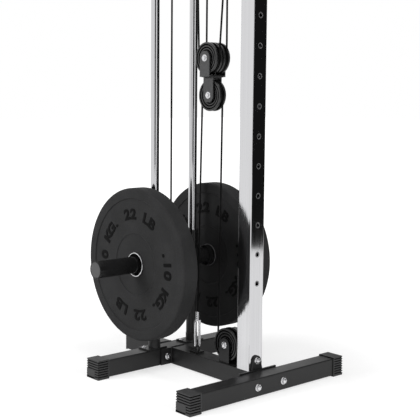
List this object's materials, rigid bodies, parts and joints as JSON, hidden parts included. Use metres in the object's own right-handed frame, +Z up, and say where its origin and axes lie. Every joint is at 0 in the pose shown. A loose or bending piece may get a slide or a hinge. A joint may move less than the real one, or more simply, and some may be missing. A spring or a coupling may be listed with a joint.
{
  "type": "cable crossover machine",
  "caption": "Tall two-tower gym cable machine: chrome uprights on H-shaped bases, plate-loaded carriages on guide rods, pulleys and cables, one overhead beam.",
  "frame": {"origin": "centre of the machine's bounding box on the floor", "axes": "+Z up, X along the overhead beam from tower to tower, -Y the side the user may enter from"},
  "size_m": [3.288, 0.62, 2.1508],
  "materials": {
    "frame": "satin",
    "cap": "ribbed",
    "chrome": "polished",
    "bumper": "matte",
    "bolt": "zinc plated",
    "plate": "moulded crumb rubber",
    "pulley": "semi-gloss",
    "knob": "satin",
    "grip": "matte",
    "cable": "coated wire rope"
  },
  "bodies": {
    "frame": {"front_crossbars": "frame", "rear_crossbars": "frame", "base_spines": "frame", "rear_stubs": "frame", "end_caps": "cap", "uprights": "chrome", "upright_foot_brackets": "frame", "guide_rods": "chrome", "rod_feet": "frame", "rod_stop_tubes": "frame", "rubber_bumpers": "bumper", "top_cross_bars": "frame", "low_pulley_brackets": "frame", "pulley_axle_bolts": "bolt", "top_side_plates": "frame", "overhead_beam": "frame", "beam_saddles": "frame", "frame_bolts": "bolt", "anchor_eyes": "frame", "snap_hooks": "bolt", "left_lifting_cable": "cable", "left_upper_cable": "cable", "left_lower_cable": "cable", "right_lifting_cable": "cable", "right_upper_cable": "cable", "right_lower_cable": "cable"},
    "left_weight_carriage": {"left_weight_carriage": "frame"},
    "left_near_plate": {"left_near_plate": "plate"},
    "left_far_plate": {"left_far_plate": "plate"},
    "left_low_pulley": {"left_low_pulley": "pulley"},
    "left_block_pulley_near": {"left_block_pulley_near": "pulley"},
    "left_block_pulley_far": {"left_block_pulley_far": "pulley"},
    "left_block_pulley_low": {"left_block_pulley_low": "pulley"},
    "left_top_pulley_front": {"left_top_pulley_front": "pulley"},
    "left_top_pulley_middle": {"left_top_pulley_middle": "pulley"},
    "left_top_pulley_rear": {"left_top_pulley_rear": "pulley"},
    "left_height_carriage": {"left_height_carriage": "frame"},
    "left_pop_pin": {"left_pop_pin": "knob"},
    "left_swivel_head": {"left_swivel_head": "frame"},
    "left_swivel_pulley": {"left_swivel_pulley": "pulley"},
    "left_handle": {"left_handle": "grip"},
    "left_pulley_block": {"left_pulley_block": "frame", "left_block_bolts": "bolt"},
    "right_weight_carriage": {"right_weight_carriage": "frame"},
    "right_near_plate": {"right_near_plate": "plate"},
    "right_far_plate": {"right_far_plate": "plate"},
    "right_low_pulley": {"right_low_pulley": "pulley"},
    "right_block_pulley_near": {"right_block_pulley_near": "pulley"},
    "right_block_pulley_far": {"right_block_pulley_far": "pulley"},
    "right_block_pulley_low": {"right_block_pulley_low": "pulley"},
    "right_top_pulley_front": {"right_top_pulley_front": "pulley"},
    "right_top_pulley_middle": {"right_top_pulley_middle": "pulley"},
    "right_top_pulley_rear": {"right_top_pulley_rear": "pulley"},
    "right_height_carriage": {"right_height_carriage": "frame"},
    "right_pop_pin": {"right_pop_pin": "knob"},
    "right_swivel_head": {"right_swivel_head": "frame"},
    "right_swivel_pulley": {"right_swivel_pulley": "pulley"},
    "right_handle": {"right_handle": "grip"},
    "right_pulley_block": {"right_pulley_block": "frame", "right_block_bolts": "bolt"}
  },
  "joints": [
    {"name": "left_weight_lift", "type": "slide", "parent": "frame", "child": "left_weight_carriage", "axis": [0, 0, 1], "range_m": [0, 1.05], "deforming": ["left_lifting_cable"]},
    {"name": "left_near_plate_off", "type": "slide", "parent": "left_weight_carriage", "child": "left_near_plate", "axis": [0, -1, 0], "range_m": [0, 0.2]},
    {"name": "left_far_plate_off", "type": "slide", "parent": "left_weight_carriage", "child": "left_far_plate", "axis": [0, 1, 0], "range_m": [0, 0.2]},
    {"name": "left_height_adjust", "type": "slide", "parent": "frame", "child": "left_height_carriage", "axis": [0, 0, 1], "range_m": [-1.2225, 0.163], "deforming": ["left_lifting_cable", "left_upper_cable", "left_lower_cable"]},
    {"name": "left_block_travel", "type": "slide", "parent": "frame", "child": "left_pulley_block", "axis": [0, 0, 1], "range_m": [-0.082, 0.612], "deforming": ["left_lifting_cable", "left_upper_cable", "left_lower_cable"]},
    {"name": "left_pin_home", "type": "slide", "parent": "left_height_carriage", "child": "left_pop_pin", "axis": [-1, 0, 0], "range_m": [0, 0.01]},
    {"name": "left_swivel", "type": "hinge", "parent": "left_height_carriage", "child": "left_swivel_head", "pos_m": [-1.056, -0.0145, 1.5955], "axis": [0, 0, 1], "range_deg": [-75, 75]},
    {"name": "left_handle_pull", "type": "slide", "parent": "left_height_carriage", "child": "left_handle", "axis": [0, 0, -1], "range_m": [0, 1.05], "deforming": ["left_lifting_cable"]},
    {"name": "left_top_pulley_front_spin", "type": "hinge", "parent": "frame", "child": "left_top_pulley_front", "pos_m": [-1.0983, -0.0145, 2.03], "axis": [0, 1, 0], "continuous": true},
    {"name": "left_top_pulley_middle_spin", "type": "hinge", "parent": "frame", "child": "left_top_pulley_middle", "pos_m": [-1.1875, 0.0145, 2.03], "axis": [0, 1, 0], "continuous": true},
    {"name": "left_top_pulley_rear_spin", "type": "hinge", "parent": "frame", "child": "left_top_pulley_rear", "pos_m": [-1.3912, -0.0145, 2.03], "axis": [0, 1, 0], "continuous": true},
    {"name": "left_low_pulley_spin", "type": "hinge", "parent": "frame", "child": "left_low_pulley", "pos_m": [-1.19, 0, 0.1057], "axis": [0, 1, 0], "continuous": true},
    {"name": "left_block_pulley_near_spin", "type": "hinge", "parent": "left_pulley_block", "child": "left_block_pulley_near", "pos_m": [-1.269, -0.0145, 0.924], "axis": [0, 1, 0], "continuous": true},
    {"name": "left_block_pulley_far_spin", "type": "hinge", "parent": "left_pulley_block", "child": "left_block_pulley_far", "pos_m": [-1.269, 0.0145, 0.924], "axis": [0, 1, 0], "continuous": true},
    {"name": "left_block_pulley_low_spin", "type": "hinge", "parent": "left_pulley_block", "child": "left_block_pulley_low", "pos_m": [-1.269, 0, 0.819], "axis": [0, 1, 0], "continuous": true},
    {"name": "left_swivel_pulley_spin", "type": "hinge", "parent": "left_swivel_head", "child": "left_swivel_pulley", "pos_m": [-1.0237, -0.0145, 1.5955], "axis": [0, 1, 0], "continuous": true},
    {"name": "right_weight_lift", "type": "slide", "parent": "frame", "child": "right_weight_carriage", "axis": [0, 0, 1], "range_m": [0, 1.05], "deforming": ["right_lifting_cable"]},
    {"name": "right_near_plate_off", "type": "slide", "parent": "right_weight_carriage", "child": "right_near_plate", "axis": [0, 1, 0], "range_m": [0, 0.2]},
    {"name": "right_far_plate_off", "type": "slide", "parent": "right_weight_carriage", "child": "right_far_plate", "axis": [0, -1, 0], "range_m": [0, 0.2]},
    {"name": "right_height_adjust", "type": "slide", "parent": "frame", "child": "right_height_carriage", "axis": [0, 0, 1], "range_m": [-1.2225, 0.163], "deforming": ["right_lifting_cable", "right_upper_cable", "right_lower_cable"]},
    {"name": "right_block_travel", "type": "slide", "parent": "frame", "child": "right_pulley_block", "axis": [0, 0, 1], "range_m": [-0.082, 0.612], "deforming": ["right_lifting_cable", "right_upper_cable", "right_lower_cable"]},
    {"name": "right_pin_home", "type": "slide", "parent": "right_height_carriage", "child": "right_pop_pin", "axis": [1, 0, 0], "range_m": [0, 0.01]},
    {"name": "right_swivel", "type": "hinge", "parent": "right_height_carriage", "child": "right_swivel_head", "pos_m": [1.056, 0.0145, 1.5955], "axis": [0, 0, 1], "range_deg": [-75, 75]},
    {"name": "right_handle_pull", "type": "slide", "parent": "right_height_carriage", "child": "right_handle", "axis": [0, 0, -1], "range_m": [0, 1.05], "deforming": ["right_lifting_cable"]},
    {"name": "right_top_pulley_front_spin", "type": "hinge", "parent": "frame", "child": "right_top_pulley_front", "pos_m": [1.0983, 0.0145, 2.03], "axis": [0, -1, 0], "continuous": true},
    {"name": "right_top_pulley_middle_spin", "type": "hinge", "parent": "frame", "child": "right_top_pulley_middle", "pos_m": [1.1875, -0.0145, 2.03], "axis": [0, -1, 0], "continuous": true},
    {"name": "right_top_pulley_rear_spin", "type": "hinge", "parent": "frame", "child": "right_top_pulley_rear", "pos_m": [1.3912, 0.0145, 2.03], "axis": [0, -1, 0], "continuous": true},
    {"name": "right_low_pulley_spin", "type": "hinge", "parent": "frame", "child": "right_low_pulley", "pos_m": [1.19, 0, 0.1057], "axis": [0, -1, 0], "continuous": true},
    {"name": "right_block_pulley_near_spin", "type": "hinge", "parent": "right_pulley_block", "child": "right_block_pulley_near", "pos_m": [1.269, 0.0145, 0.924], "axis": [0, -1, 0], "continuous": true},
    {"name": "right_block_pulley_far_spin", "type": "hinge", "parent": "right_pulley_block", "child": "right_block_pulley_far", "pos_m": [1.269, -0.0145, 0.924], "axis": [0, -1, 0], "continuous": true},
    {"name": "right_block_pulley_low_spin", "type": "hinge", "parent": "right_pulley_block", "child": "right_block_pulley_low", "pos_m": [1.269, 0, 0.819], "axis": [0, -1, 0], "continuous": true},
    {"name": "right_swivel_pulley_spin", "type": "hinge", "parent": "right_swivel_head", "child": "right_swivel_pulley", "pos_m": [1.0237, 0.0145, 1.5955], "axis": [0, -1, 0], "continuous": true}
  ],
  "couplings": [
    {"joint": "left_handle_pull", "follows": "left_weight_lift", "ratio": 1},
    {"joint": "left_top_pulley_front_spin", "follows": "left_weight_lift", "rad_per_m": 23.641},
    {"joint": "left_top_pulley_rear_spin", "follows": "left_weight_lift", "rad_per_m": 23.641},
    {"joint": "left_block_pulley_near_spin", "follows": "left_weight_lift", "rad_per_m": -23.641},
    {"joint": "left_swivel_pulley_spin", "follows": "left_weight_lift", "rad_per_m": -30.96},
    {"joint": "left_block_travel", "follows": "left_height_adjust", "ratio": -0.5},
    {"joint": "left_top_pulley_middle_spin", "follows": "left_height_adjust", "rad_per_m": -23.641},
    {"joint": "left_block_pulley_far_spin", "follows": "left_height_adjust", "rad_per_m": 11.82},
    {"joint": "left_block_pulley_low_spin", "follows": "left_height_adjust", "rad_per_m": 11.82},
    {"joint": "left_low_pulley_spin", "follows": "left_height_adjust", "rad_per_m": -22.321},
    {"joint": "right_handle_pull", "follows": "right_weight_lift", "ratio": 1},
    {"joint": "right_top_pulley_front_spin", "follows": "right_weight_lift", "rad_per_m": 23.641},
    {"joint": "right_top_pulley_rear_spin", "follows": "right_weight_lift", "rad_per_m": 23.641},
    {"joint": "right_block_pulley_near_spin", "follows": "right_weight_lift", "rad_per_m": -23.641},
    {"joint": "right_swivel_pulley_spin", "follows": "right_weight_lift", "rad_per_m": -30.96},
    {"joint": "right_block_travel", "follows": "right_height_adjust", "ratio": -0.5},
    {"joint": "right_top_pulley_middle_spin", "follows": "right_height_adjust", "rad_per_m": -23.641},
    {"joint": "right_block_pulley_far_spin", "follows": "right_height_adjust", "rad_per_m": 11.82},
    {"joint": "right_block_pulley_low_spin", "follows": "right_height_adjust", "rad_per_m": 11.82},
    {"joint": "right_low_pulley_spin", "follows": "right_height_adjust", "rad_per_m": -22.321}
  ]
}
